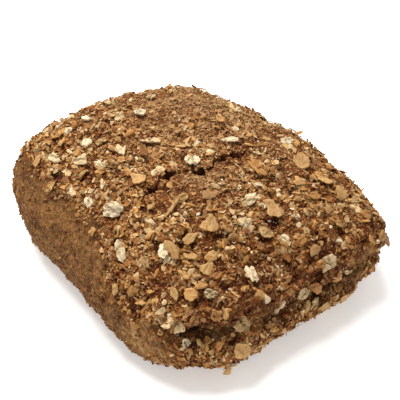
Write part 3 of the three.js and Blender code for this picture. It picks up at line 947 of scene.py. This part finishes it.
def make_solid_flakes(grain_look, oat_look):
    """The flakes that the solid carries: tan rolled grain, and pale crumbly oat."""
    flakes, corners = solid_flakes()
    spots, ups, length, width, heading = (np.array(column) for column in zip(*flakes))
    rise = FLAKE_RISE + FLAKE_RISE_SHARE * length
    oat = rng.random(len(flakes)) < OAT_SHARE
    known = np.arange(len(flakes)) < len(GRAIN_FLAKES) + len(OAT_FLAKES)
    oat[known] = np.arange(known.sum()) >= len(GRAIN_FLAKES)
    disc = Disc(6, 26, sharp=False)
    for name, chosen, kind, look in (
        ("grain_flakes", known & ~oat, ROLLED, grain_look),
        ("plain_flakes", ~known & ~oat, PLAIN, grain_look),
        ("oat_flakes", oat, OAT, oat_look),
    ):
        sizes = [values[chosen] for values in (corners, length, width, rise)]
        shapes, height = flake_shapes(disc, *sizes, kind)
        axes = headed_frames(ups[chosen], heading[chosen])
        make_flakes(name, disc, shapes, height, spots[chosen], axes, kind, look)


def make_loose_flakes(surface, weight, look):
    """Small flakes and husks between the large ones, too fine for the solid."""
    spots, ups, _ = spread_over(surface, weight, LOOSE_COUNT, 0.3)
    length = rng.uniform(*LOOSE_SIZES, LOOSE_COUNT)
    width = length * rng.uniform(*LOOSE_WIDTHS, LOOSE_COUNT)
    corners = rng.random((LOOSE_COUNT, FLAKE_SIDES, 3))
    disc = Disc(2, 11, sharp=False)
    shapes, height = flake_shapes(disc, corners, length, width, LOOSE_RISE * length, LOOSE)
    make_flakes("small_flakes", disc, shapes, height, spots, standing_frames(ups, 0.6), LOOSE, look)


class Nodes:
    """Short way to add and link shader nodes in one material."""

    def __init__(self, name, roughness):
        self.material = bpy.data.materials.new(name)
        self.material.use_nodes = True
        self.tree = self.material.node_tree
        self.shader = self.tree.nodes["Principled BSDF"]
        self.fill(self.shader, {"Roughness": roughness, "Specular IOR Level": DULLNESS})

    def fill(self, node, inputs):
        """Gives each input of a node its value, or the link to another node's output."""
        for name, value in inputs.items():
            if isinstance(value, bpy.types.NodeSocket):
                self.tree.links.new(value, node.inputs[name])
            else:
                node.inputs[name].default_value = value

    def add(self, kind, inputs, output, **settings):
        """The named output of a new node."""
        node = self.tree.nodes.new(kind)
        for name, value in settings.items():
            setattr(node, name, value)
        self.fill(node, inputs)
        return node.outputs[output]

    def place(self):
        return self.add("ShaderNodeTexCoord", {}, "Object")

    def attribute(self, name, output="Fac"):
        return self.add("ShaderNodeAttribute", {}, output, attribute_name=name)

    def scaled(self, vector, scale):
        return self.add("ShaderNodeMapping", {"Vector": vector, "Scale": scale}, "Vector")

    def noise(self, place, scale, detail, roughness):
        inputs = {"Vector": place, "Scale": scale, "Detail": detail, "Roughness": roughness}
        return self.add("ShaderNodeTexNoise", inputs, "Fac")

    def cells(self, place, scale):
        """Distance to the middle of the nearest cell."""
        return self.add("ShaderNodeTexVoronoi", {"Vector": place, "Scale": scale}, "Distance")

    def ramp(self, value, stops):
        ramp = self.add("ShaderNodeValToRGB", {"Fac": value}, "Color")
        band = ramp.node.color_ramp.elements
        while len(band) < len(stops):
            band.new(0.5)
        for element, (place, colour) in zip(band, stops):
            element.position = place
            element.color = (*linear(colour), 1)
        return ramp

    def mix(self, share, first, second, blend="MIX"):
        inputs = {"Factor": share, "A": first, "B": second}
        return self.add("ShaderNodeMix", inputs, "Result", data_type="RGBA", blend_type=blend)

    def finished(self, colour, height, distance):
        """The material with its colour, and with bumps up to a distance in metres."""
        bump = self.add("ShaderNodeBump", {"Height": height, "Strength": 1.0, "Distance": distance}, "Normal")
        self.fill(self.shader, {"Base Color": colour, "Normal": bump})
        return self.material


def dough_material():
    """Baked dough: brown under the coat, partly its own colour and partly painted shade for the gaps between
    the pieces there, and matte and mottled with small pores, painted as dark spots of shade, where it is
    bare.
    """
    nodes = Nodes("baked_dough", 0.85)
    place = nodes.place()
    patches = nodes.noise(place, 160, 6, 0.65)
    specks = nodes.noise(place, 1100, 5, 0.7)
    # Under the coat the dough is darkened partly as painted shade for the gaps between the pieces, where
    # alone it shows
    coated = nodes.ramp(patches, ((0.3, (92, 43, 10)), (0.5, (126, 66, 22)), (0.7, (154, 94, 40))))
    bare = nodes.ramp(patches, ((0.34, (112, 75, 36)), (0.5, (147, 104, 55)), (0.66, (174, 129, 74))))
    pale = nodes.ramp(patches, ((0.34, (138, 100, 60)), (0.5, (182, 140, 88)), (0.66, (212, 172, 116))))
    bare = nodes.mix(nodes.attribute("pale"), bare, pale)
    colour = nodes.mix(nodes.attribute("bare"), coated, bare)
    speckle = nodes.ramp(specks, ((0.36, (116, 90, 68)), (0.5, (220, 210, 198)), (0.64, CLEAR)))
    colour = nodes.mix(0.85, colour, speckle, "MULTIPLY")
    # Painted shade of small pores: dark spots on the bare dough, with no hollows under them
    pores = nodes.ramp(nodes.cells(place, 480), ((0.08, (90, 66, 48)), (0.26, CLEAR)))
    colour = nodes.mix(nodes.attribute("bare"), colour, nodes.mix(0.8, colour, pores, "MULTIPLY"))
    # Painted shade from the shade layer: the dark gap colour in the crack, furrow, pores and dips
    colour = nodes.mix(nodes.attribute("shade"), colour, (*linear(GAP_SHADE), 1))
    return nodes.finished(colour, specks, 0.0007)


def tinted_material(name, roughness, grain, depth):
    """Colour from each piece's own tint, broken up by fine noise."""
    nodes = Nodes(name, roughness)
    fine = nodes.noise(nodes.place(), grain, 4, 0.65)
    shade = nodes.ramp(fine, ((0.3, (160, 134, 106)), (0.55, (238, 230, 220)), (0.75, CLEAR)))
    colour = nodes.mix(0.4, nodes.attribute("tint", "Color"), shade, "MULTIPLY")
    return nodes.finished(colour, fine, depth)


def marked_material(name, stretch, streak_stops, stain_stops, roughness, depth):
    """Streaks along each piece and stains over it, on its own tint."""
    nodes = Nodes(name, roughness)
    grain = nodes.attribute("grain", "Vector")
    streaks = nodes.noise(nodes.scaled(grain, stretch), 1.0, 4, 0.65)
    stains = nodes.noise(grain, 1.1, 4, 0.6)
    colour = nodes.mix(0.85, nodes.attribute("tint", "Color"), nodes.ramp(streaks, streak_stops), "MULTIPLY")
    colour = nodes.mix(0.75, colour, nodes.ramp(stains, stain_stops), "MULTIPLY")
    return nodes.finished(colour, streaks, depth)


def rolled_grain_material():
    streaks = (0.36, (196, 160, 114)), (0.47, (246, 236, 218)), (0.62, CLEAR)
    stains = (0.34, (222, 184, 130)), (0.5, (250, 244, 234)), (0.7, CLEAR)
    return marked_material("rolled_grain", (0.35, 3.6, 1.0), streaks, stains, 0.65, 0.00007)


def oat_material():
    fissures = (0.36, (150, 118, 80)), (0.43, (246, 238, 224)), (0.6, CLEAR)
    stains = (0.34, (218, 188, 144)), (0.46, (252, 248, 240)), (0.66, CLEAR)
    return marked_material("oat", (0.8, 2.0, 1.4), fissures, stains, 0.9, 0.0001)


def coat_weights(surface):
    """For each scattered piece, how thickly it lies at each point of the crust."""
    points, bare, quiet, dips = surface.points, surface.bare, surface.quiet, surface.dips
    off, half_width = from_crack(points)
    opening = crack_opening(points[:, 1])
    room = vertex_areas(points, surface.triangles) * smooth_step(0.6, 2.0, points[:, 2])
    coat = room * (0.01 + 0.99 * (1 - bare))
    fine = coat * smooth_step(0.15, 0.5, off - half_width) * (1 - 0.5 * dips)
    patchy = np.clip(0.6 + 1.1 * clouds(points, 7), 0.05, 1.6)
    shards = coat * smooth_step(0.2, 0.7 + 0.6 * opening, off - half_width) * patchy * (1 - 0.75 * dips)
    large = shards * (1 - 0.9 * quiet) * (1 - 0.4 * smooth_step(0.35, 0.85, surface.normals[:, 0]))
    flakes = large * (1 - bare)
    return {
        "granules": fine * (0.35 + 0.65 * quiet), "grains": fine, "side_grains": room * bare,
        "small_bran": shards * (1 - 0.6 * quiet), "large_bran": large,
        "oat_crumbs": flakes * patchy, "oat_bits": flakes * patchy, "oat_specks": fine * patchy,
        "small_flakes": flakes,
    }


def make_roll():
    """The dough and all that sticks to it, from the finest grains to the largest flakes."""
    surface = make_crust()
    weights = coat_weights(surface)
    grain_look = tinted_material("grain", 0.8, 2500, 0.00005)
    for name, kind in GRAIN_KINDS.items():
        make_grains(name, surface, weights[name], kind, grain_look)
    bran_look = tinted_material("bran", 0.75, 1500, 0.00008)
    for name, kind in BRAN_KINDS.items():
        make_bran(name, surface, weights[name], kind, bran_look)

    oat_look = oat_material()
    crumb_sizes = [rng.uniform(*kind.sizes, kind.count) for kind in CRUMB_KINDS.values()]
    for (name, kind), sizes in zip(CRUMB_KINDS.items(), crumb_sizes):
        make_crumbs(name, surface, weights[name], sizes, kind.detail, oat_look)
    rolled_look = rolled_grain_material()
    make_solid_flakes(rolled_look, oat_look)
    make_loose_flakes(surface, weights["small_flakes"], rolled_look)
    make_husks(rolled_look)


def make_stage():
    """A plain pale floor under the roll."""
    mesh = bpy.data.meshes.new("floor")
    mesh.from_pydata([(-3, -3, 0), (3, -3, 0), (3, 3, 0), (-3, 3, 0)], [], [(0, 1, 2, 3)])
    nodes = Nodes("floor", 0.9)
    glow = {"Emission Color": (1, 1, 1, 1), "Emission Strength": FLOOR_GLOW}
    nodes.fill(nodes.shader, {"Base Color": (0.9, 0.9, 0.9, 1), **glow})
    mesh.materials.append(nodes.material)
    floor = in_scene("floor", mesh)


def make_light():
    for name, (place, size, power, colour) in LAMPS.items():
        light = bpy.data.lights.new(name, "AREA")
        light.shape = "DISK"
        light.size = size
        light.energy = power
        light.color = colour
        lamp = in_scene(name, light)
        lamp.location = place
        lamp.rotation_euler = (Vector(place) * -1).to_track_quat("-Z", "Y").to_euler()
    world = bpy.data.worlds.new("studio")
    world.use_nodes = True
    background = world.node_tree.nodes["Background"]
    background.inputs["Color"].default_value = DAYLIGHT
    background.inputs["Strength"].default_value = DAYLIGHT_STRENGTH
    bpy.context.scene.world = world


def make_camera():
    bearing, rise = math.radians(CAMERA_BEARING), math.radians(CAMERA_RISE)
    back = Vector((math.sin(bearing) * math.cos(rise), -math.cos(bearing) * math.cos(rise), math.sin(rise)))
    right = Vector((math.cos(bearing), math.sin(bearing), 0))
    middle = Vector((0, 0, HEIGHT / 2))
    place = middle + back * CAMERA_DISTANCE
    aim = middle + right * AIM_RIGHT - back.cross(right) * AIM_DOWN
    camera = bpy.data.cameras.new("camera")
    camera.lens = CAMERA_LENS
    camera.sensor_width = 36
    camera.clip_start = 0.01
    view = in_scene("camera", camera)
    view.location = place * MM
    view.rotation_euler = (aim - place).to_track_quat("-Z", "Y").to_euler()
    bpy.context.scene.camera = view


make_roll()
make_stage()
make_light()
make_camera()
bpy.context.scene.view_settings.view_transform = "Standard"
